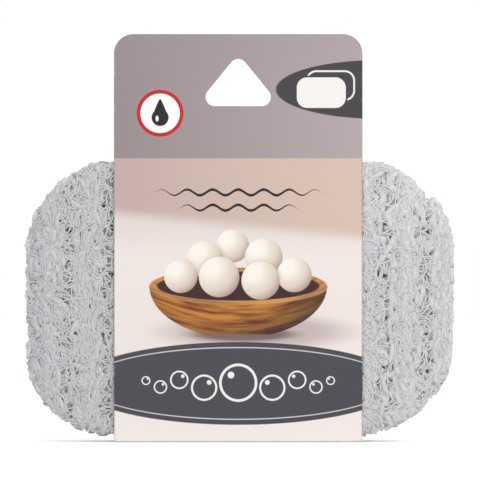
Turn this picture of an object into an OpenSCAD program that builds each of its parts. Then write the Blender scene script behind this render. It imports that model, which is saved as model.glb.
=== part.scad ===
// Soap saver pack: two open mats of welded loops, held in a folded card sleeve that hangs from a peg.
// It stands upright on the sleeve's bottom panel, with +Z up and the printed front facing -Y.

/* [Pads] */
// Width of each pad, left to right
pad_w = 119.4; // [90:0.2:200]
// Height of each pad as it stands in the sleeve
pad_h = 77; // [50:1:140]
// Thickness of each pad
pad_t = 9.5; // [7:0.5:16]
// Corner radius of the pads' outline
pad_corner_r = 26; // [8:1:30]
// How far the rear pad sits to the right of the front one
pad_shift = 0.6; // [0:0.1:2]

/* [Loops of the mats] */
// Thickness of a strand
strand_d = 1.4; // [0.8:0.1:1.8]
// Spacing of the bands of loops that is aimed for
band_spacing = 11; // [9:0.5:16]
// Climb of the strand for each loop
loop_climb = 8; // [6:0.5:14]
// How far each loop leans up and down its band
loop_lean = 4; // [2:0.5:6]
// Rings of the strand in each loop
loop_rings = 12; // [8:2:24]
// Sides of the strand
strand_sides = 3; // [3:1:8]

/* [Card sleeve] */
// Width of the card, left to right
card_w = 70; // [40:1:110]
// Thickness of the card
card_t = 0.4; // [0.3:0.05:0.8]
// Height of the header above the top panel
header_h = 35; // [28:1:60]
// Radius of the header's top corners
header_corner_r = 5.5; // [2:0.5:12]
// Inner radius of each crease
crease_r = 0.3; // [0.1:0.05:0.6]
// Film of glue between the two plies of the header
glue_t = 0.1; // [0.05:0.05:0.3]
// Bare margin between the glue and the edges of the header and the hole
glue_margin = 2.5; // [1:0.5:5]

/* [Hang hole] */
// Greatest width of the hole
hole_w = 18.4; // [12:0.2:30]
// Height of the hole
hole_h = 13.3; // [9:0.1:20]
// Radius of the hole's three corners
hole_corner_r = 2.6; // [1:0.1:4]
// Card left between the hole and the top edge
hole_below_top = 7; // [4:0.5:12]

/* [Fits] */
// Gap beside each pad, to the card and to the other pad
side_gap = 0.3; // [0.2:0.1:1]
// Gap between the pads and the top panel
top_gap = 0.2; // [0.2:0.1:2]
// Gap between the pads and the bottom panel
bottom_gap = 2; // [0.2:0.1:4]

/* [Hidden] */
$fn = 64;
// Overlap that keeps joined shapes from only touching
join = 0.01;

// Sleeve, worked out from the pads that it holds
sleeve_d = 2 * pad_t + 3 * side_gap + 2 * card_t;
sleeve_h = pad_h + top_gap + bottom_gap + 2 * card_t;
card_h = sleeve_h + header_h;
front_y = -sleeve_d / 2;
crease_out = crease_r + card_t;

// Pads, seated from the sleeve's inner faces
pad_z = card_t + bottom_gap + pad_h / 2;
front_pad_y = front_y + card_t + side_gap + pad_t / 2;
rear_pad_y = front_pad_y + pad_t + side_gap;

// Bands of loops: neighbours touch along the line between them, so that they weld
bands = round((pad_w - strand_d) / band_spacing);
band_pitch = (pad_w - strand_d) / bands;
loop_r = band_pitch / 2;
loop_depth = (pad_t - strand_d) / 2;
ring_step = 360 / loop_rings;
// How far inside a length a weld has to be, in degrees of its winding
weld_margin = 8;
// Half width and half height that the middle of a strand keeps to
reach_x = (pad_w - strand_d) / 2;
reach_z = (pad_h - strand_d) / 2;
reach_r = pad_corner_r - strand_d / 2;

// Height of the rounded outline above its middle, at a distance x from the middle
function outline_z(x) =
    let (past = max(0, abs(x) - (reach_x - reach_r)))
    reach_z - reach_r + sqrt(max(0, reach_r * reach_r - past * past));

// Signs and offsets that make neighbouring bands cross where they meet
function lean(band) = (band % 2 == 0 ? 1 : -1) * loop_lean;
function start(band) = (band % 2 == 0 ? 0 : loop_climb / 2);
function band_x(band) = (band - (bands - 1) / 2) * band_pitch;

// Middle of the strand of a band at an angle of its winding
function strand_at(band, a) = [
    band_x(band) + loop_r * cos(a),
    loop_depth * sin(a),
    loop_climb * a / 360 + start(band) + lean(band) * sin(a)
];

// Direction of the strand there, and the direction away from the loop's middle
function unit(v) = v / norm(v);
function strand_along(band, a) =
    let (per_degree = PI / 180)
    unit([
        -loop_r * sin(a) * per_degree,
        loop_depth * cos(a) * per_degree,
        loop_climb / 360 + lean(band) * cos(a) * per_degree
    ]);
function strand_out(band, a) =
    let (
        along = strand_along(band, a),
        out = [cos(a), sin(a) * loop_depth / loop_r, 0]
    )
    unit(out - (out * along) * along);

// Whether the middle of the strand is inside the outline at an angle
function inside(band, a) =
    let (p = strand_at(band, a))
    abs(p.z) <= outline_z(p.x);

// Angle where the strand meets the outline, between one angle inside it and one outside
function cut_angle(band, in_a, out_a, halvings = 8) =
    halvings == 0
    ? in_a
    : let (middle = (in_a + out_a) / 2)
      inside(band, middle)
      ? cut_angle(band, middle, out_a, halvings - 1)
      : cut_angle(band, in_a, middle, halvings - 1);

// Lengths of a band's strand that the outline leaves, as pairs of angles, from the bottom up
function lengths(band) =
    let (
        last = ceil((reach_z + loop_lean) / loop_climb) * loop_rings,
        within = [for (i = [-last : last]) inside(band, i * ring_step)],
        starts = [for (i = [1 : 2 * last]) if (within[i] && !within[i - 1]) i - last],
        stops = [for (i = [0 : 2 * last - 1]) if (within[i] && !within[i + 1]) i - last]
    )
    [
        for (n = [0 : len(starts) - 1])
            [
                cut_angle(band, starts[n] * ring_step, (starts[n] - 1) * ring_step),
                cut_angle(band, stops[n] * ring_step, (stops[n] + 1) * ring_step)
            ]
    ];

// The length through the middle of a band, which every other length has to be welded to
function main_length(band) = [for (l = lengths(band)) if (l[0] < 0 && l[1] > 0) l][0];
mains = [for (band = [0 : bands - 1]) main_length(band)];

// Whether an angle is well within a length
function holds(length, a) = length[0] + weld_margin < a && a < length[1] - weld_margin;

// Whether the weld at a half turn joins a band to the main length of its neighbour there
function welded(band, half_turn) =
    let (
        neighbour = band + (half_turn % 2 == 0 ? 1 : -1),
        height = loop_climb * half_turn / 2 + start(band)
    )
    neighbour >= 0 && neighbour < bands
    && holds(mains[neighbour], 360 * (height - start(neighbour)) / loop_climb);

// Lengths that the die leaves in the mat: the main one, and those that are welded to it
function kept_lengths(band) = [
    for (l = lengths(band))
        let (
            welds = [
                for (h = [ceil((l[0] + weld_margin) / 180) : floor((l[1] - weld_margin) / 180)])
                    if (welded(band, h)) h
            ]
        )
        if ((l[0] < 0 && l[1] > 0) || len(welds) > 0) l
];

// Angles of the rings along a length: even steps, with the first and last ring at its cuts
function ring_angles(length) =
    let (
        first = ceil(length[0] / ring_step + 0.3),
        last = floor(length[1] / ring_step - 0.3)
    )
    concat([length[0]], [for (i = [first : 1 : last]) i * ring_step], [length[1]]);

// One length of strand, wound as leaning loops up its band, with a flat cut at each end
module strand(band, length) {
    angles = ring_angles(length);
    rings = len(angles);
    sides = strand_sides;
    points = [
        for (a = angles)
            let (
                middle = strand_at(band, a),
                along = strand_along(band, a),
                out = strand_out(band, a),
                across = cross(along, out)
            )
            for (s = [0 : sides - 1])
                middle + strand_d / 2 * (cos(360 * s / sides) * out + sin(360 * s / sides) * across)
    ];
    walls = [
        for (i = [0 : rings - 2], s = [0 : sides - 1])
            let (
                a = i * sides + s,
                b = i * sides + (s + 1) % sides
            )
            each [[a, a + sides, b], [b, a + sides, b + sides]]
    ];
    ends = [
        [for (s = [0 : sides - 1]) s],
        [for (s = [sides - 1 : -1 : 0]) (rings - 1) * sides + s]
    ];
    polyhedron(points, concat(walls, ends));
}

// One mat: bands of loops side by side, each welded to the next where their strands cross
module mat() {
    color("#c4c6c6")
        union()
            for (band = [0 : bands - 1], length = kept_lengths(band))
                strand(band, length);
}

module front_pad() {
    translate([-pad_shift / 2, front_pad_y, pad_z]) mat();
}

// The rear mat is turned over, as it comes off the stack
module rear_pad() {
    translate([pad_shift / 2, rear_pad_y, pad_z]) rotate([0, 0, 180]) mat();
}

// Strip of card seen from the side, from one corner to another of its box
module strip(from, to) {
    translate(from) square(to - from);
}

// Quarter turn of card seen from the side, round a middle, towards the quadrant that it points to
module crease(middle, way) {
    translate(middle)
        intersection() {
            difference() {
                circle(r = crease_out);
                circle(r = crease_r);
            }
            scale(way) square(crease_out);
        }
}

// The whole blank seen from the side, with the front to the left
module sleeve_profile() {
    back_y = front_y + sleeve_d;
    top_z = sleeve_h;
    ply_y = front_y + card_t + glue_t;
    // Front panel, which runs on as the front ply of the header
    strip([front_y, crease_out], [front_y + card_t, card_h]);
    crease([front_y + crease_out, crease_out], [-1, -1]);
    // Bottom panel
    strip([front_y + crease_out - join, 0], [back_y - crease_out + join, card_t]);
    crease([back_y - crease_out, crease_out], [1, -1]);
    // Back panel
    strip([back_y - card_t, crease_out - join], [back_y, top_z - crease_out + join]);
    crease([back_y - crease_out, top_z - crease_out], [1, 1]);
    // Top panel, which turns up into the back ply of the header
    strip([ply_y + crease_out - join, top_z - card_t], [back_y - crease_out + join, top_z]);
    crease([ply_y + crease_out, top_z + crease_r], [-1, -1]);
    strip([ply_y, top_z + crease_r - join], [ply_y + card_t, card_h]);
}

// Outline of the card seen from the front, with round top corners
module card_outline() {
    half = card_w / 2;
    r = header_corner_r;
    translate([-half, 0]) square([card_w, card_h - r]);
    translate([r - half, 0]) square([card_w - 2 * r, card_h]);
    for (side = [-1, 1])
        translate([side * (half - r), card_h - r]) circle(r = r);
}

// Hang hole seen from the front: a triangle with round corners, widest near its flat bottom.
// A positive grow makes it larger all round.
module hole_outline(grow = 0) {
    r = hole_corner_r + grow;
    foot = [hole_w / 2 - hole_corner_r, card_h - hole_below_top - hole_h + hole_corner_r];
    peak = [0, card_h - hole_below_top - hole_corner_r];
    lean_angle = atan2(peak.y - foot.y, foot.x);
    out = r * [sin(lean_angle), cos(lean_angle)];
    for (middle = [foot, peak, [-foot.x, foot.y]])
        translate(middle) circle(r = r);
    polygon([
        foot + [0, -r], foot, foot + out,
        peak + out, peak, peak + [-out.x, out.y],
        [-foot.x - out.x, foot.y + out.y], [-foot.x, foot.y], [-foot.x, foot.y - r]
    ]);
}

// Turns an outline seen from the front into a solid between two depths
module from_front(y0, y1) {
    translate([0, y1, 0]) rotate([90, 0, 0]) linear_extrude(y1 - y0) children();
}

module card_sleeve() {
    color("#e6dad6")
        difference() {
            intersection() {
                translate([-card_w / 2, 0, 0])
                    rotate([90, 0, 90]) linear_extrude(card_w) sleeve_profile();
                from_front(front_y - join, front_y + sleeve_d + join) card_outline();
            }
            from_front(front_y - 1, front_y + 2 * card_t + glue_t + 1) hole_outline();
        }
}

module header_glue() {
    low = sleeve_h + crease_r + glue_margin;
    color("#d8d2b8")
        from_front(front_y + card_t, front_y + card_t + glue_t)
            difference() {
                translate([glue_margin - card_w / 2, low])
                    square([card_w - 2 * glue_margin, card_h - header_corner_r - low]);
                hole_outline(glue_margin);
            }
}

card_sleeve();
header_glue();
front_pad();
rear_pad();
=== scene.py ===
"""Looks of a soap saver pack: two mats of vinyl loops in a printed card sleeve.

Lengths are in metres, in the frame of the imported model: +Z up, the printed front facing -Y.
"""

import math
from typing import NamedTuple

import bpy
import numpy as np
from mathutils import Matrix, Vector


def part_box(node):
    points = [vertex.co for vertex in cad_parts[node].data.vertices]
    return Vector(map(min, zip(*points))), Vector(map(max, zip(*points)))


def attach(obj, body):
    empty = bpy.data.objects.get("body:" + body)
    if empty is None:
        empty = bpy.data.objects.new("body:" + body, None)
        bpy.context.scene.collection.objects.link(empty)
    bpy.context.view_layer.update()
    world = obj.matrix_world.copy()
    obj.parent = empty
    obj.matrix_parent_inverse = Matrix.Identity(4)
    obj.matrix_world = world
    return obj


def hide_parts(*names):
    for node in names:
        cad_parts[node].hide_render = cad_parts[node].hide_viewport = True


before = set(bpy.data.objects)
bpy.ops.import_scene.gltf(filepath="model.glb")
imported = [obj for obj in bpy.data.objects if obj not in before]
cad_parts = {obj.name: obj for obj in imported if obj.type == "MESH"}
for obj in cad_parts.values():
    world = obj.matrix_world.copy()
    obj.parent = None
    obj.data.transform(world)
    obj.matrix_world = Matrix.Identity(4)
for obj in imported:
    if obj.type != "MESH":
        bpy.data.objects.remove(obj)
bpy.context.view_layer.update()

MM = 0.001

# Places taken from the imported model
card_low, card_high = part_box("card_sleeve")
card_w = card_high[0] - card_low[0]
card_h = card_high[2]
front_y = card_low[1]
back_y = card_high[1]

# Sizes of the sleeve and the mats that their boxes don't give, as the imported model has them
SLEEVE_H = 80 * MM
CARD_T = 0.4 * MM
MAT_W = 119.4 * MM
MAT_H = 77 * MM
MAT_D = 9.5 * MM
# Gaps over the mats and between them
TOP_GAP = 0.2 * MM
MAT_GAP = 0.3 * MM
mat_middle_y = (MAT_D + MAT_GAP) / 2
mat_middle_z = SLEEVE_H - CARD_T - TOP_GAP - MAT_H / 2

# The photograph's frame: its width at the printed front, and what its middle looks at, across and up
PHOTO_W = 135.2 * MM
PHOTO_MIDDLE = (0.5 * MM, 57.0 * MM)
CAMERA_AWAY = 1.8
SENSOR_W = 36


def linear(*rgb):
    """An sRGB colour, given from 0 to 255, as Blender's linear numbers."""
    return tuple(
        c / 12.92 if c <= 0.04045 else ((c + 0.055) / 1.055) ** 2.4 for c in (v / 255 for v in rgb)
    ) + (1.0,)


# Camera

def make_camera():
    """Straight at the front from far away, as the photograph is taken."""
    data = bpy.data.cameras.new("camera")
    data.sensor_width = SENSOR_W
    data.lens = SENSOR_W * (CAMERA_AWAY + front_y) / PHOTO_W
    data.clip_end = 20
    camera = bpy.data.objects.new("camera", data)
    bpy.context.collection.objects.link(camera)
    camera.location = (PHOTO_MIDDLE[0], -CAMERA_AWAY, PHOTO_MIDDLE[1])
    camera.rotation_euler = (math.pi / 2, 0, 0)
    bpy.context.scene.camera = camera


make_camera()


# Node graphs

class Graph:
    """A material's nodes, written as calls. Each call returns an output socket."""

    def __init__(self, name):
        self.material = bpy.data.materials.new(name)
        self.material.use_nodes = True
        self.tree = self.material.node_tree
        self.shader = self.tree.nodes["Principled BSDF"]

    def node(self, kind, inputs=(), **settings):
        """A new node with its inputs and settings. This one returns the node itself."""
        made = self.tree.nodes.new("ShaderNode" + kind)
        for key, value in settings.items():
            setattr(made, key, value)
        for key, value in dict(inputs).items():
            self.put(made.inputs[key], value)
        return made

    def put(self, socket, value):
        """Links a socket to the value, or sets it to the value."""
        if isinstance(value, bpy.types.NodeSocket):
            self.tree.links.new(value, socket)
        else:
            socket.default_value = value

    def set(self, **values):
        """Sets the shader's sockets, named with underscores for spaces."""
        for key, value in values.items():
            self.put(self.shader.inputs[key.replace("_", " ")], value)

    def surface(self, node):
        """Makes the node's output the material's surface."""
        self.put(self.tree.nodes["Material Output"].inputs["Surface"], node.outputs[0])

    def math(self, operation, *values):
        made = self.node("Math", operation=operation)
        for socket, value in zip(made.inputs, values):
            self.put(socket, value)
        return made.outputs[0]

    def add(self, a, b):
        return self.math("ADD", a, b)

    def sub(self, a, b):
        return self.math("SUBTRACT", a, b)

    def mul(self, a, b):
        return self.math("MULTIPLY", a, b)

    def absolute(self, a):
        return self.math("ABSOLUTE", a)

    def outside(self, mask):
        """0 where the mask is 1, and 1 where it is 0."""
        return self.sub(1.0, mask)

    def ramp(self, value, low, high, to_low=0.0, to_high=1.0, smooth=True):
        """Takes low to to_low and high to to_high, and stays there beyond them."""
        kind = "SMOOTHSTEP" if smooth else "LINEAR"
        inputs = {"Value": value, "From Min": low, "From Max": high, "To Min": to_low, "To Max": to_high}
        return self.node("MapRange", inputs, interpolation_type=kind).outputs["Result"]

    def mix(self, share, a, b):
        """The colour a where the share is 0, and b where it is 1."""
        made = self.node("Mix", data_type="RGBA")
        for index, value in ((0, share), (6, a), (7, b)):
            self.put(made.inputs[index], value)
        return made.outputs[2]

    def noise(self, scale, detail=2.0, roughness=0.5, vector=None, stretch=None):
        where = vector or self.place()
        if stretch:
            where = self.node("Mapping", {"Vector": where, "Scale": stretch}).outputs[0]
        inputs = {"Vector": where, "Scale": scale, "Detail": detail, "Roughness": roughness}
        return self.node("TexNoise", inputs).outputs["Fac"]

    def place(self):
        """The place on the object at rest, in metres."""
        return self.node("TexCoord").outputs["Object"]

    def axes(self):
        split = self.node("SeparateXYZ", {"Vector": self.place()})
        return split.outputs["X"], split.outputs["Y"], split.outputs["Z"]

    def bump(self, height, distance):
        made = self.node("Bump", {"Height": height, "Distance": distance, "Strength": 1.0})
        self.put(self.shader.inputs["Normal"], made.outputs["Normal"])


# Vinyl

# How much light passes through a filament to what it shades
LIT_THROUGH = 0.96


def vinyl():
    """Pale grey soft vinyl filament, a little different from strand to strand, with painted light and shade
    in its colour.
    """
    g = Graph("vinyl_filament")
    patch = g.noise(140.0)
    fine = g.noise(1400.0)
    x, y, z = g.axes()
    colour = g.mix(g.ramp(patch, 0.35, 0.65), linear(203, 205, 203), linear(205, 205, 209))
    # Painted light and shade: the filament is painted greyer towards the left end as painted shade, and
    # paler towards the upper right as painted light from that side
    painted_shade_left = g.ramp(x, -44 * MM, -MAT_W / 2)
    painted_light_upper_right = g.mul(g.ramp(x, -10 * MM, 50 * MM), g.ramp(z, 45 * MM, SLEEVE_H, 0.4, 1.0))
    colour = g.mix(painted_shade_left, colour, linear(195, 196, 200))
    colour = g.mix(painted_light_upper_right, colour, linear(221, 221, 225))
    colour = g.mix(g.ramp(fine, 0.3, 0.7, 0.0, 0.25), colour, linear(224, 225, 224))
    # Under the loops of each face it is painted paler still: painted light that stands for the light coming
    # through the filaments above
    below = g.sub(MAT_D / 2, g.absolute(g.sub(g.absolute(y), mat_middle_y)))
    colour = g.mix(g.ramp(below, 0.5 * MM, 1.3 * MM), colour, linear(233, 236, 232))
    g.set(Base_Color=colour, Roughness=g.ramp(fine, 0.3, 0.7, 0.42, 0.58))
    g.set(IOR=1.53, Sheen_Weight=1.0, Sheen_Roughness=0.4)
    g.bump(g.noise(2600.0, 1.0), 0.04 * MM)
    # Its shadow is faint, for the light that comes through it
    rays = g.node("LightPath").outputs["Is Shadow Ray"]
    clear = g.node("BsdfTransparent", {"Color": (LIT_THROUGH, LIT_THROUGH, LIT_THROUGH, 1)})
    g.surface(g.node("MixShader", {0: rays, 1: g.shader.outputs[0], 2: clear.outputs[0]}))
    return g.material


# Mats of loops

# Loops gather in upright bands: how far one is from the next, and how far they lie off the middle
BAND_PITCH = 11.25 * MM
BAND_SHIFT = 1.95 * MM
# Each strand of a band lies this share of the band further across than the last one, to spread evenly
GOLDEN = 0.618034
# How much loops differ in size, and in their height against their width
SIZE_VARIES = 0.4
SHAPE_VARIES = 0.25
# How far a strand's turns bunch together along its band
BUNCHING = 1.0 * MM
# How much a band's strands draw together here and there, and how far apart that is at least and at most
PINCH = 0.4
PINCH_LEAST = 6 * MM
PINCH_MOST = 18 * MM
# How much a strand's thickness differs along it
THICK_VARIES = 0.08

# Size of the outline that a mat is cut to, before its unevenness takes some off
CUT_W = MAT_W + 1.3 * MM
CUT_H = MAT_H + 1.4 * MM
# Its corner radii, which the die leaves a little uneven: left and right, lower then upper
CORNER_R = np.array([[24.5, 27.3], [27.5, 26.5]]) * MM
# How far the cut wanders, and how far one filament may end short of the next
CUT_WAVE = 0.15 * MM
CUT_STEP = 0.4 * MM
# A nick near the upper right corner: its start and run, as angles seen from the middle, and its depth
NICK_AT = 0.475
NICK_RUN = 0.3
NICK_DEEP = 1.9 * MM
# How far a strand's middle stays under the top of the mat, as a share of the strand's width
TOP_CLEAR = 0.35

# How far the mats lie to the right, and how far loose loops stand out from each face
NUDGE = 0.45 * MM
LOOSE = 0.13 * MM


class Layer(NamedTuple):
    """One kind of filament in a mat, wound upwards along its bands. Lengths are in mm."""

    name: str
    # Strands in each band
    strands: int
    # Thickness of a strand, and its width as a share of that
    thick: float
    # Least and most depth of a strand's middle under the face
    depth: tuple
    # How far a turn swings across the band and along it, and how far it climbs
    loop: tuple
    climb: float
    # The waves that make up the free part of the swing: how many, and the least and most per turn
    waves: tuple
    # How much of the swing is round loops, and not free
    round_share: float = 0.5
    wide: float = 1.0
    # How much of the pitch the strands spread over. They gather at the band's middle with a gather
    # above 1, and at its sides with one below 1
    reach: float = 1.0
    gather: float = 1.0
    # 0.5 lays the strands over the channels between the bands
    across: float = 0.0
    # How deep each turn dives, and how far a strand strays in depth
    through: float = 0.0
    weave: float = 0.15
    # Sides of a strand's tube, and its rings in each turn
    sides: int = 4
    rings: int = 10


# From each face to the mat's middle
LAYERS = (
    Layer(
        "loops", strands=6, thick=0.52, wide=1.05, depth=(0.3, 0.5), gather=1.3,
        loop=(2.0, 2.6), climb=3.4, waves=(2, 0.5, 1.0),
    ),
    Layer(
        "rungs", strands=2, thick=0.52, depth=(0.4, 0.8), reach=0.3, across=0.5,
        loop=(2.6, 1.3), climb=4.4, waves=(2, 0.6, 1.1), round_share=0.9,
    ),
    Layer(
        "coils", strands=3, thick=0.66, wide=1.1, depth=(1.0, 1.6), through=3.2, weave=0.2, reach=0.7,
        loop=(2.2, 1.4), climb=3.4, waves=(2, 0.6, 1.1), round_share=0.9,
    ),
    Layer(
        "ground", strands=11, thick=0.72, wide=2.8, depth=(0.6, 0.95), weave=0.18, reach=0.68, gather=1.2,
        loop=(1.1, 2.0), climb=3.2, waves=(3, 0.4, 1.0), round_share=0.3, rings=6,
    ),
    Layer(
        "floor", strands=10, thick=0.8, wide=2.2, depth=(1.8, 2.7), weave=0.4, gather=0.9, across=0.5,
        loop=(1.4, 1.8), climb=3.4, waves=(3, 0.4, 1.0), round_share=0.3, rings=6,
    ),
    Layer(
        "core", strands=6, thick=1.1, depth=(2.9, 4.4), weave=0.9, gather=0.5,
        loop=(1.8, 1.8), climb=3.0, waves=(4, 0.5, 1.3), round_share=0.0, sides=3, rings=6,
    ),
)


def drift(rng, rows, turns, waves=4, slowest=0.03, fastest=0.35):
    """Smooth random curves between about -1 and 1, one for each row, along the turns."""
    rate = rng.uniform(slowest, fastest, (rows, waves, 1)) * 2 * np.pi
    start = rng.uniform(0, 2 * np.pi, (rows, waves, 1))
    return np.sin(rate * turns + start).sum(1) / math.sqrt(waves) * 0.9


def loop_paths(rng, layer, side, width, height, depth):
    """Middles of a layer's filaments before the mat is cut out, as rows of points about its middle."""
    swing_across, swing_along = (v * MM for v in layer.loop)
    climb = layer.climb * MM
    spare = 3 * swing_along
    turns = np.arange(0, (height + 2 * spare) / climb, 1 / layer.rings)
    bands = math.ceil(width / BAND_PITCH) + 1
    rows = bands * layer.strands

    # Where each strand lies in its band, from -1 to 1, and the band's middle
    first = np.repeat(rng.uniform(0, 1, bands), layer.strands)
    spread = (first + GOLDEN * np.tile(np.arange(layer.strands), bands)) % 1
    share = 2 * spread[:, None] - 1
    share = np.sign(share) * np.abs(share) ** layer.gather
    band = np.repeat(np.arange(bands), layer.strands)
    middle = ((band - bands // 2 + layer.across) * BAND_PITCH + BAND_SHIFT)[:, None]

    least, most = (v * MM for v in layer.depth)
    below = least + (most - least) * rng.uniform(0, 1, (rows, 1))

    def sway():
        count, slowest, fastest = layer.waves
        return drift(rng, rows, turns, count, slowest, fastest)

    # The turns of each strand, one way or the other
    way = np.where(rng.uniform(0, 1, (rows, 1)) < 0.5, -1, 1)
    angle = way * 2 * np.pi * (turns + rng.uniform(0, 1, (rows, 1))) + drift(rng, rows, turns)
    size = 1 + SIZE_VARIES * drift(rng, rows, turns, 3, 0.1, 0.6)
    tall = 1 + SHAPE_VARIES * drift(rng, rows, turns)
    looped = layer.round_share
    free = 1 - looped

    # Every so often the strands of a band draw together and open cells beside it
    pinch = 1 + PINCH * drift(rng, bands, turns, 3, climb / PINCH_MOST, climb / PINCH_LEAST)
    pinch = np.repeat(pinch, layer.strands, axis=0)
    x = middle + 0.5 * layer.reach * share * BAND_PITCH * pinch
    x = x + swing_across * (looped * size / tall * np.cos(angle) + free * sway())
    dive = 0.5 * layer.through * MM * (1 - np.sin(angle))
    y = side * (depth / 2 - below - dive + layer.weave * MM * sway())
    z = turns * climb - height / 2 - spare + BUNCHING * drift(rng, rows, turns)
    z = z + swing_along * (looped * size * tall * np.sin(angle) + free * sway())
    deepest = (depth - layer.thick * MM) / 2
    return np.stack([x, np.clip(y, -deepest, deepest), z], axis=2)


def inside_outline(rng, points, top):
    """Which points lie in the mat's rounded outline, which no two filaments are cut at quite alike."""
    place = points[..., [0, 2]]
    half = np.array([CUT_W, CUT_H]) / 2
    right, upper = (place[..., axis] > 0 for axis in (0, 1))
    corner_r = CORNER_R[upper.astype(int), right.astype(int)]
    past = np.maximum(np.abs(place) - half + corner_r[..., None], 0)
    angle = np.arctan2(place[..., 1], place[..., 0])
    uneven = 0.5 * (np.sin(9 * angle + rng.uniform(0, 6)) + np.sin(16 * angle + rng.uniform(0, 6)))
    nick = NICK_DEEP * np.clip(1 - (angle - NICK_AT) / NICK_RUN, 0, 1) * (angle > NICK_AT)
    slack = CUT_WAVE * (uneven - 1) - rng.uniform(0, CUT_STEP, (len(points), 1)) - nick
    return (np.hypot(past[..., 0], past[..., 1]) < corner_r + slack) & (place[..., 1] < top)


def unit(v):
    return v / np.maximum(np.linalg.norm(v, axis=-1, keepdims=True), 1e-12)


def runs(mask):
    """The first place and the length of each unbroken stretch of True along the rows."""
    padded = np.pad(mask.astype(np.int8), ((0, 0), (1, 1)))
    step = np.diff(padded, axis=1)
    starts = np.argwhere(step == 1)
    ends = np.argwhere(step == -1)
    return starts, ends[:, 1] - starts[:, 1]


def tube_skin(paths, thickness, wide, sides):
    """Points round each point of the paths, on an oval that lies as flat in the mat as it can."""
    along = unit(np.gradient(paths, axis=1))
    over = unit(np.array([0, 1, 0]) - along[..., 1:2] * along)
    across = np.cross(over, along)
    turn = 2 * np.pi * (np.arange(sides) + 0.5) / sides
    ring = wide * np.cos(turn)[:, None] * across[:, :, None, :]
    ring = ring + np.sin(turn)[:, None] * over[:, :, None, :]
    return paths[:, :, None, :] + ring * thickness[:, :, None, None] / 2


def tube_faces(rings, sides):
    """The quads round a tube and the two caps that close it, by the numbers of its points."""
    start = np.arange(rings - 1)[:, None] * sides
    here = np.arange(sides)
    after = (here + 1) % sides
    quads = np.stack([start + here, start + after, start + sides + after, start + sides + here], 2)
    caps = np.stack([here[::-1], (rings - 1) * sides + here])
    return quads.reshape(-1, 4), caps


def map_places(first, rings, sides, cells):
    """Places of the quads' corners in a map of cells by cells squares, one square for each ring."""
    cell = first + np.arange(rings - 1)
    u = (cell % cells)[:, None] + np.zeros(sides)
    v = (cell // cells)[:, None] + np.arange(sides) / sides
    next_u = u + 1
    next_v = v + 1 / sides
    corners = [np.stack(pair, 2) for pair in ((u, v), (u, next_v), (next_u, next_v), (next_u, v))]
    return np.stack(corners, 2).reshape(-1, 2) / cells


def make_mesh(name, points, quads, caps, places):
    """A mesh of smooth quads and flat caps, with the place of each corner in the map."""
    corners = np.concatenate([quads.ravel(), caps.ravel()])
    sizes = np.concatenate([np.full(len(quads), 4), np.full(len(caps), caps.shape[1])])
    starts = np.concatenate([[0], np.cumsum(sizes)[:-1]])
    mesh = bpy.data.meshes.new(name)
    mesh.vertices.add(len(points))
    mesh.vertices.foreach_set("co", points.ravel())
    mesh.loops.add(len(corners))
    mesh.loops.foreach_set("vertex_index", corners.astype(np.int32))
    mesh.polygons.add(len(sizes))
    mesh.polygons.foreach_set("loop_start", starts.astype(np.int32))
    mesh.polygons.foreach_set("loop_total", sizes.astype(np.int32))
    mesh.update(calc_edges=True)
    mesh.polygons.foreach_set("use_smooth", np.arange(len(sizes)) < len(quads))
    own_map = mesh.uv_layers.new(name="OFBake")
    own_map.uv.foreach_set("vector", places.astype(np.float32).ravel())
    return mesh


def tube_mesh(name, paths, kept, thickness, wide, sides, fewest):
    """One mesh of tubes along the kept stretches of the paths that have the fewest rings or more."""
    skin = tube_skin(paths, thickness, wide, sides)
    starts, lengths = runs(kept)
    starts = starts[lengths >= fewest]
    lengths = lengths[lengths >= fewest]
    cells = math.ceil(math.sqrt(lengths.sum()))
    points, quads, caps, places = [], [], [], []
    done = 0
    for (row, column), rings in zip(starts, lengths):
        tube_quads, tube_caps = tube_faces(rings, sides)
        points.append(skin[row, column:column + rings].reshape(-1, 3))
        quads.append(tube_quads + done * sides)
        caps.append(tube_caps + done * sides)
        places.append(map_places(done, rings, sides, cells))
        done += rings
    caps = np.concatenate(caps)
    places.append(np.tile(np.linspace(0, 0.5 / cells, sides)[:, None], (len(caps), 2)))
    return make_mesh(name, np.concatenate(points), np.concatenate(quads), caps, np.concatenate(places))


def make_mat(node, body, material, seed):
    """A mat of filament loops in the place of a CAD pad, in layers from each face to the middle."""
    low, high = (np.array(corner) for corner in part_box(node))
    middle = (low + high) / 2
    middle[0] += NUDGE
    middle[2] = mat_middle_z
    rng = np.random.default_rng(seed)
    for layer in LAYERS:
        thick = layer.thick * MM
        top = MAT_H / 2 - TOP_CLEAR * thick * layer.wide
        for side, face in ((-1, "front"), (1, "back")):
            paths = loop_paths(rng, layer, side, MAT_W + 2 * MM, MAT_H, MAT_D + 2 * LOOSE)
            kept = inside_outline(rng, paths, top)
            turns = np.arange(kept.shape[1]) / layer.rings
            thickness = thick * (1 + THICK_VARIES * drift(rng, len(kept), turns))
            name = f"{node}_{face}_{layer.name}"
            mesh = tube_mesh(name, paths + middle, kept, thickness, layer.wide, layer.sides, layer.rings)
            mesh.materials.append(material)
            piece = bpy.data.objects.new(name, mesh)
            bpy.context.collection.objects.link(piece)
            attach(piece, body)
            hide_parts(node)


vinyl_material = vinyl()
make_mat("front_pad", "front_mat", vinyl_material, 11)
make_mat("rear_pad", "rear_mat", vinyl_material, 29)


# Printed card

# How far the ink goes into the board, and how softly its shapes end
INK_DEEP = 0.06 * MM
INK_SOFT = 0.1 * MM
# Outer radius of the creases, and the depth of the header's two plies with their glue
CREASE_R = 0.7 * MM
HEADER_D = 0.9 * MM
# Share of the room's white that the card's gloss adds to its ink
GLOSS = 0.055
CREAM = (241, 231, 227)
DARK = (92, 91, 96)
BLACK = (48, 43, 45)


def ink(r, g, b):
    """The ink that looks like an sRGB colour once the card's gloss is added to it."""
    return tuple(max((v - GLOSS) / (1 - GLOSS), 0.002) for v in linear(r, g, b)[:3]) + (1.0,)


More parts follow.
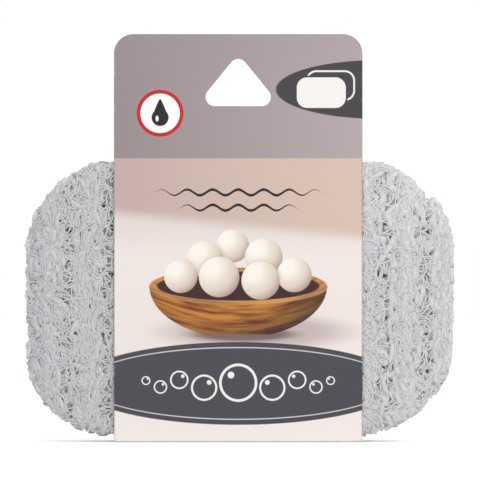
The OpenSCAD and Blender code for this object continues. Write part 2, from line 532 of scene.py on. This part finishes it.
class Print(Graph):
    """A material's nodes with printed shapes, which are given in mm from the middle of the card's foot."""

    def __init__(self, name):
        super().__init__(name)
        self.point = self.place()
        self.x, self.y, self.z = self.axes()
        self.side = self.absolute(self.x)
        self.mirrored = self.node("CombineXYZ", {"X": self.side, "Z": self.z}).outputs[0]

    def away(self, x, z, rx, rz=None, both=False):
        """Distance from a place, where 1 is the edge of an ellipse. With both, it is on each side."""
        rz = rz or rx
        point = self.mirrored if both else self.point
        scale = (1 / (rx * MM), 0, 1 / (rz * MM))
        shift = (-x / rx, 0, -z / rz)
        near = self.node("VectorMath", {0: point, 1: scale, 2: shift}, operation="MULTIPLY_ADD")
        return self.node("VectorMath", {0: near.outputs[0]}, operation="LENGTH").outputs["Value"]

    def disc(self, x, z, rx, rz=None, both=False):
        """1 inside an ellipse and 0 outside it."""
        soft = INK_SOFT / MM / min(rx, rz or rx)
        return self.ramp(self.away(x, z, rx, rz, both), 1 + soft, 1 - soft)

    def ring(self, x, z, rx, rz=None, wide=0.5, both=False):
        """1 on a line inside an ellipse's edge."""
        rz = rz or rx
        return self.sub(self.disc(x, z, rx, rz, both), self.disc(x, z, rx - wide, rz - wide, both))

    def oblong(self, x, z, half_w, half_h, r):
        """1 inside an upright rectangle with round corners."""
        past = [
            self.math("MAXIMUM", self.sub(self.absolute(self.sub(v, at * MM)), (half - r) * MM), 0.0)
            for v, at, half in ((self.x, x, half_w), (self.z, z, half_h))
        ]
        far = self.math("SQRT", self.add(self.mul(past[0], past[0]), self.mul(past[1], past[1])))
        return self.ramp(far, r * MM + INK_SOFT, r * MM - INK_SOFT)

    def above(self, z, soft=0.1):
        """1 above a height and 0 below it."""
        return self.ramp(self.z, (z - soft) * MM, (z + soft) * MM)

    def most(self, *masks):
        """1 where any of the masks is."""
        total = masks[0]
        for mask in masks[1:]:
            total = self.math("MAXIMUM", total, mask)
        return total

    def over(self, base, mask, value):
        """The value where the mask is 1, and the base where it is 0."""
        return self.node("Mix", {0: mask, 2: base, 3: value}).outputs[0]


def backdrop(g):
    """The printed ground: a mauve header, and under it a tan wall that fades to a cream table."""
    across = g.ramp(g.x, -card_w / 2, card_w / 2, smooth=False)
    header = g.mix(across, ink(159, 147, 149), ink(184, 171, 173))
    header = g.mix(g.ramp(g.z, 92 * MM, card_h, 0.0, 0.22), header, ink(163, 151, 153))
    wall = g.mix(g.ramp(across, 0.0, 0.55), ink(200, 178, 174), ink(210, 189, 178))
    wall = g.mix(g.ramp(across, 0.4, 1.0), wall, ink(217, 195, 182))
    table = g.mix(g.above(57, 6), ink(*CREAM), ink(231, 220, 215))
    table = g.mix(g.above(9, 9), ink(248, 240, 236), table)
    slope = g.add(g.z, g.mul(g.x, 0.1))
    ground = g.mix(g.ramp(slope, 58.8 * MM, 63.6 * MM), table, wall)
    return g.mix(g.above(SLEEVE_H / MM, 0.07), ground, header)


# Balls of soap in the printed bowl: place of the middle and radius, the back ones first
SOAP_BALLS = (
    (-1.6, 55.3, 4.7),
    (-9.4, 51.6, 5.2),
    (7.2, 52.2, 5.3),
    (-16.2, 46.8, 4.7),
    (15.8, 47.2, 4.9),
    (-5.4, 46.6, 5.7),
    (6.3, 45.6, 5.4),
)
# The bowl's ovals, by their middle and radii: its rim, the hollow inside it, and its outside, which
# shows from the rim down to the height of the foot
BOWL_Z = 44.0
BOWL_R = 25.0
BOWL_RIM = (0, BOWL_Z, BOWL_R, 5.2)
BOWL_HOLLOW = (0, BOWL_Z, BOWL_R - 2.0, 4.1)
BOWL_OUTSIDE = (0, BOWL_Z, BOWL_R, 14.6)
BOWL_FOOT_Z = 30.4


def bowl_of_soap(g, colour):
    """A round wooden bowl heaped with balls of soap, lit from the upper left, over the ground's colour."""
    wide_shadow = g.ramp(g.away(5.0, 31.2, 34.0, 6.5), 1.0, 0.45)
    colour = g.mix(g.mul(wide_shadow, 0.6), colour, ink(168, 146, 150))
    close_shadow = g.ramp(g.away(1.5, BOWL_FOOT_Z, 19.0, 2.6), 1.0, 0.5)
    colour = g.mix(g.mul(close_shadow, 0.75), colour, ink(96, 74, 70))

    # Streaks of the wood bend down at the bowl's sides
    bent = g.sub(g.z, g.mul(g.mul(g.x, g.x), 9.0))
    along = g.node("CombineXYZ", {"X": g.mul(g.x, 0.09), "Y": 0.0, "Z": bent}).outputs[0]
    streaks = g.noise(520.0, 3.0, 0.6, vector=along)
    knots = g.noise(150.0, 2.0, 0.5, vector=along)
    wood = g.mix(g.ramp(streaks, 0.35, 0.62), ink(126, 78, 42), ink(204, 142, 80))
    wood = g.mix(g.ramp(knots, 0.55, 0.7, 0.0, 0.6), wood, ink(92, 56, 34))

    # The hollow, seen through the rim
    colour = g.mix(g.disc(*BOWL_RIM), colour, g.mix(0.25, wood, ink(228, 178, 122)))
    colour = g.mix(g.disc(*BOWL_HOLLOW), colour, ink(84, 52, 34))

    # The balls, each darker away from the light and where the one in front of it touches
    light, cover = 0.5, 0.0
    for x, z, r in SOAP_BALLS:
        touch = g.ramp(g.away(x, z, r * 1.22), 1.0, 0.75)
        light = g.over(light, g.mul(touch, 0.45), 0.15)
        lit = g.ramp(g.away(x - 0.42 * r, z + 0.45 * r, 1.75 * r), 1.0, 0.15, smooth=False)
        ball = g.disc(x, z, r)
        light = g.over(light, ball, lit)
        cover = g.math("MAXIMUM", cover, ball)
    soap = g.mix(g.ramp(light, 0.0, 0.5), ink(176, 154, 142), ink(229, 216, 202))
    soap = g.mix(g.ramp(light, 0.4, 1.0), soap, ink(252, 246, 238))
    colour = g.mix(cover, colour, soap)

    # The outside of the bowl, in front of the balls, between the rim and the foot
    front = g.mul(g.outside(g.above(BOWL_Z)), g.outside(g.disc(*BOWL_HOLLOW)))
    lip = g.mul(g.disc(*BOWL_RIM), front)
    side = g.mul(g.mul(g.disc(*BOWL_OUTSIDE), front), g.above(BOWL_FOOT_Z))
    side = g.mul(side, g.outside(g.disc(*BOWL_RIM)))
    dark = g.ramp(g.away(-7.0, 41.5, 33.0, 15.0), 0.35, 1.0)
    colour = g.mix(side, colour, g.mix(g.mul(dark, 0.8), wood, ink(62, 38, 26)))
    return g.mix(lip, colour, g.mix(0.3, wood, ink(232, 184, 128)))


# Two rippled lines: height and half length. Then a ripple's length, and how far it rises and falls
RIPPLES = ((70.4, 27.0), (66.1, 19.5))
RIPPLE_LONG = 7.2 * MM
RIPPLE_HIGH = 0.8 * MM


def ripples(g, colour):
    """Rippled lines over the picture, which taper to their ends."""
    wave = g.mul(g.math("COSINE", g.mul(g.x, 2 * math.pi / RIPPLE_LONG)), RIPPLE_HIGH)
    for z, half in RIPPLES:
        far = g.absolute(g.sub(g.sub(g.z, z * MM), wave))
        thick = g.ramp(g.side, half * MM, 0.35 * half * MM, 0.0, 0.4 * MM)
        mark = g.ramp(g.sub(far, thick), 0.06 * MM, -0.06 * MM)
        mark = g.mul(mark, g.ramp(thick, 0.0, 0.08 * MM))
        colour = g.mix(mark, colour, ink(*BLACK))
    return colour


# The dark band across the foot, and the fine line inside its edge: place of the middle and radii
BAND = (0, 16.6, 45.8, 11.65)
BAND_LINE = (0, 16.6, 43.4, 10.25)
# Soap bubbles on it: distance from the middle, height and radius
BUBBLES = ((0.0, 16.8, 5.4), (9.6, 15.4, 3.7), (16.6, 17.6, 2.6), (21.9, 15.6, 1.9), (26.0, 17.4, 1.25))


def band_of_bubbles(g, colour):
    """A dark lens across the foot of the front, with a fine line inside its edge and a row of bubbles."""
    colour = g.mix(g.disc(*BAND), colour, ink(*DARK))
    marks = [g.mul(g.ring(*BAND_LINE, wide=0.3), 0.75)]
    for x, z, r in BUBBLES:
        both = x > 0
        marks.append(g.ring(x, z, r, wide=0.1 * r + 0.2, both=both))
        marks.append(g.disc(x - 0.38 * r, z + 0.4 * r, 0.16 * r + 0.08, both=both))
    return g.mix(g.most(*marks), colour, ink(246, 242, 240))


# The oval that the header's right edge cuts: place of the middle and radii
BADGE = (39.9, 99.4, 29.3, 8.3)
# The two mats on it: places of the front and the back one, half sizes and corner radius, and a line's width
BADGE_FRONT = (23.4, 98.5)
BADGE_BACK = (26.0, 100.5)
BADGE_MAT = (6.9, 4.3, 2.9)
BADGE_LINE = 0.5


def badge_of_mats(g, colour):
    """A dark half oval at the header's right edge, with two mats drawn one behind the other."""
    colour = g.mix(g.disc(*BADGE), colour, ink(86, 85, 87))
    inner = [v - BADGE_LINE for v in BADGE_MAT]
    outer = [v + BADGE_LINE for v in BADGE_MAT]
    back = g.sub(g.oblong(*BADGE_BACK, *BADGE_MAT), g.oblong(*BADGE_BACK, *inner))
    back = g.mul(back, g.outside(g.oblong(*BADGE_FRONT, *outer)))
    return g.mix(g.most(back, g.oblong(*BADGE_FRONT, *BADGE_MAT)), colour, ink(244, 240, 238))


# The round mark at the header's left: place of the middle, the ring's radii and the drop's
ROUNDEL = (-22.0, 92.7)
ROUNDEL_R = 6.6
ROUNDEL_INNER_R = 5.55
DROP_R = 2.4


def drop_roundel(g, colour):
    """A thin red ring round a drop of water, at the header's left."""
    x, z = ROUNDEL
    colour = g.mix(g.disc(x, z, ROUNDEL_R), colour, ink(205, 24, 34))
    colour = g.mix(g.disc(x, z, ROUNDEL_INNER_R), colour, ink(252, 251, 251))
    # The drop's round foot, its tip, and a glint left out of it
    share = g.ramp(g.z, (z - 1.2) * MM, (z + 4.1) * MM, smooth=False)
    narrowing = g.math("POWER", g.outside(share), 0.8)
    past = g.sub(g.absolute(g.sub(g.x, x * MM)), g.mul(narrowing, 2.35 * MM))
    tip = g.mul(g.ramp(past, INK_SOFT, -INK_SOFT), g.above(z - 1.2))
    tip = g.mul(tip, g.outside(g.above(z + 4.0)))
    drop = g.most(g.disc(x, z - 1.2, DROP_R), tip)
    drop = g.sub(drop, g.mul(drop, g.disc(x - 0.85, z - 1.5, 0.42, 0.8)))
    return g.mix(drop, colour, ink(*BLACK))


def artwork(g):
    """What is printed on the front, with a grey line of painted shade along the cut edges and the bottom
    crease.
    """
    front = bowl_of_soap(g, backdrop(g))
    # Painted shade: a grey line along the cut edges and along the bottom crease, below the header
    edge = g.ramp(g.side, card_w / 2 - 0.32 * MM, card_w / 2 - 0.2 * MM)
    edge = g.most(edge, g.ramp(g.z, 0.3 * MM, 0.2 * MM))
    edge = g.mul(edge, g.outside(g.above(SLEEVE_H / MM)))
    front = ripples(g, g.mix(g.mul(edge, 0.55), front, ink(150, 145, 145)))
    return drop_roundel(g, badge_of_mats(g, band_of_bubbles(g, front)))


def printed_card():
    """Coated card, printed on its outer face, with bare board inside the sleeve and at the cut edges."""
    g = Print("printed_card")

    # How deep a point is under the blank's outer face: in the header's plies, and in the folded sleeve
    ply = g.math("MINIMUM", g.sub(g.y, front_y), g.sub(front_y + HEADER_D, g.y))
    past_y = g.sub(g.absolute(g.y), (back_y - front_y) / 2 - CREASE_R)
    past_z = g.sub(g.absolute(g.sub(g.z, SLEEVE_H / 2)), SLEEVE_H / 2 - CREASE_R)
    corner = g.node("CombineXYZ", {
        "X": g.math("MAXIMUM", past_y, 0.0), "Y": g.math("MAXIMUM", past_z, 0.0),
    }).outputs[0]
    corner = g.node("VectorMath", {0: corner}, operation="LENGTH").outputs["Value"]
    inner = g.math("MINIMUM", g.math("MAXIMUM", past_y, past_z), 0.0)
    wall = g.sub(CREASE_R, g.add(corner, inner))
    in_header = g.above(SLEEVE_H / MM, 0.02)
    deep = g.over(wall, in_header, ply)
    printed = g.ramp(deep, INK_DEEP + 0.02 * MM, INK_DEEP - 0.02 * MM)

    # The front's artwork wraps a little way round the bottom crease
    on_front = g.ramp(g.y, front_y + 0.45 * MM, front_y + 0.35 * MM)
    colour = g.mix(on_front, ink(*CREAM), artwork(g))

    # Rubbed ink along the creases and the cut edges
    rough = g.noise(900.0, 3.0, 0.6)
    near_edge = g.ramp(g.side, card_w / 2 - 0.5 * MM, card_w / 2)
    rub = g.mul(near_edge, g.ramp(rough, 0.52, 0.68))
    fold = g.mul(g.ramp(g.mul(past_y, -1.0), 0.4 * MM, 0.0), g.ramp(g.mul(past_z, -1.0), 0.4 * MM, 0.0))
    not_folded = g.mul(g.above(SLEEVE_H / MM - 2), g.ramp(g.y, front_y + 1.2 * MM, front_y + 1.0 * MM))
    fold = g.mul(fold, g.outside(g.most(in_header, not_folded)))
    rub = g.most(g.mul(rub, 0.35), g.mul(fold, g.ramp(rough, 0.4, 0.66, 0.1, 0.6)))
    colour = g.mix(rub, colour, linear(236, 231, 224))

    # Bare board where the ink doesn't reach
    fibre = g.noise(420.0, 4.0, 0.65, stretch=(1.0, 1.0, 0.35))
    board = g.mix(g.ramp(fibre, 0.35, 0.65), linear(214, 206, 193), linear(224, 218, 207))
    colour = g.mix(printed, board, colour)
    satin = g.ramp(g.noise(260.0, 3.0), 0.3, 0.7, 0.36, 0.46)
    g.set(Base_Color=colour, Roughness=g.over(0.85, printed, satin))
    g.bump(g.add(g.noise(1500.0), g.mul(g.noise(60.0, 1.0), 2.0)), 0.012 * MM)
    return g.material


def dried_glue():
    """A thin film of yellowed glue, rolled on and pressed flat between the header's plies."""
    g = Graph("dried_glue")
    rolled = g.noise(350.0, 3.0, 0.6, stretch=(1.0, 1.0, 0.2))
    colour = g.mix(g.ramp(rolled, 0.35, 0.65), linear(236, 231, 216), linear(226, 217, 192))
    g.set(Base_Color=colour, Roughness=g.ramp(rolled, 0.3, 0.7, 0.5, 0.7), IOR=1.48)
    g.bump(rolled, 0.03 * MM)
    return g.material


def dress(node, *materials):
    """Puts materials in a CAD node's slots."""
    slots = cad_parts[node].material_slots
    for slot, material in zip(slots, materials):
        slot.material = material


dress("card_sleeve", printed_card())
dress("header_glue", dried_glue())


# Stage

FLOOR_HALF = 3.0
# How much the floor glows for the camera, so that it looks white and keeps its shadows
FLOOR_GLOW = 0.35
# Strength of the world's light on the object. The camera and reflections see it as white
WORLD_LIGHT = 0.78
# The key lamp: its place, what it faces, its size in metres and its power in watts
KEY_PLACE = (0.5, -0.7, 0.6)
KEY_FACES = (0, 0, 0.05)
KEY_SIZE = 0.6
KEY_POWER = 3.1


def make_floor():
    """A plain white floor."""
    g = Graph("floor")
    g.set(Base_Color=(0.93, 0.93, 0.93, 1), Roughness=0.9)
    seen = g.node("LightPath").outputs["Is Camera Ray"]
    glow = g.node("Emission", {"Color": (1, 1, 1, 1), "Strength": g.mul(seen, FLOOR_GLOW)})
    g.surface(g.node("AddShader", {0: g.shader.outputs[0], 1: glow.outputs[0]}))
    mesh = bpy.data.meshes.new("floor")
    r = FLOOR_HALF
    mesh.from_pydata([(-r, -r, 0), (r, -r, 0), (r, r, 0), (-r, r, 0)], [], [(0, 1, 2, 3)])
    mesh.materials.append(g.material)
    floor = bpy.data.objects.new("floor", mesh)
    bpy.context.collection.objects.link(floor)


def make_key():
    """A soft square lamp in front of the object, at its upper right."""
    data = bpy.data.lights.new("key", "AREA")
    data.energy = KEY_POWER
    data.size = KEY_SIZE
    lamp = bpy.data.objects.new("key", data)
    bpy.context.collection.objects.link(lamp)
    lamp.location = KEY_PLACE
    way = np.array(KEY_FACES) - np.array(KEY_PLACE)
    tilt = math.acos(-way[2] / np.linalg.norm(way))
    lamp.rotation_euler = (tilt, 0, math.atan2(way[1], way[0]) - math.pi / 2)


def make_world():
    """White light from all around."""
    world = bpy.data.worlds.new("world")
    bpy.context.scene.world = world
    world.use_nodes = True
    tree = world.node_tree
    rays = tree.nodes.new("ShaderNodeLightPath")
    seen = tree.nodes.new("ShaderNodeMath")
    seen.operation = "MAXIMUM"
    tree.links.new(rays.outputs["Is Camera Ray"], seen.inputs[0])
    tree.links.new(rays.outputs["Is Glossy Ray"], seen.inputs[1])
    level = tree.nodes.new("ShaderNodeMapRange")
    level.inputs["To Min"].default_value = WORLD_LIGHT
    level.inputs["To Max"].default_value = 1.0
    tree.links.new(seen.outputs[0], level.inputs["Value"])
    back = tree.nodes["Background"]
    back.inputs["Color"].default_value = (1, 1, 1, 1)
    tree.links.new(level.outputs["Result"], back.inputs["Strength"])


make_floor()
make_key()
make_world()
bpy.context.scene.view_settings.view_transform = "Standard"
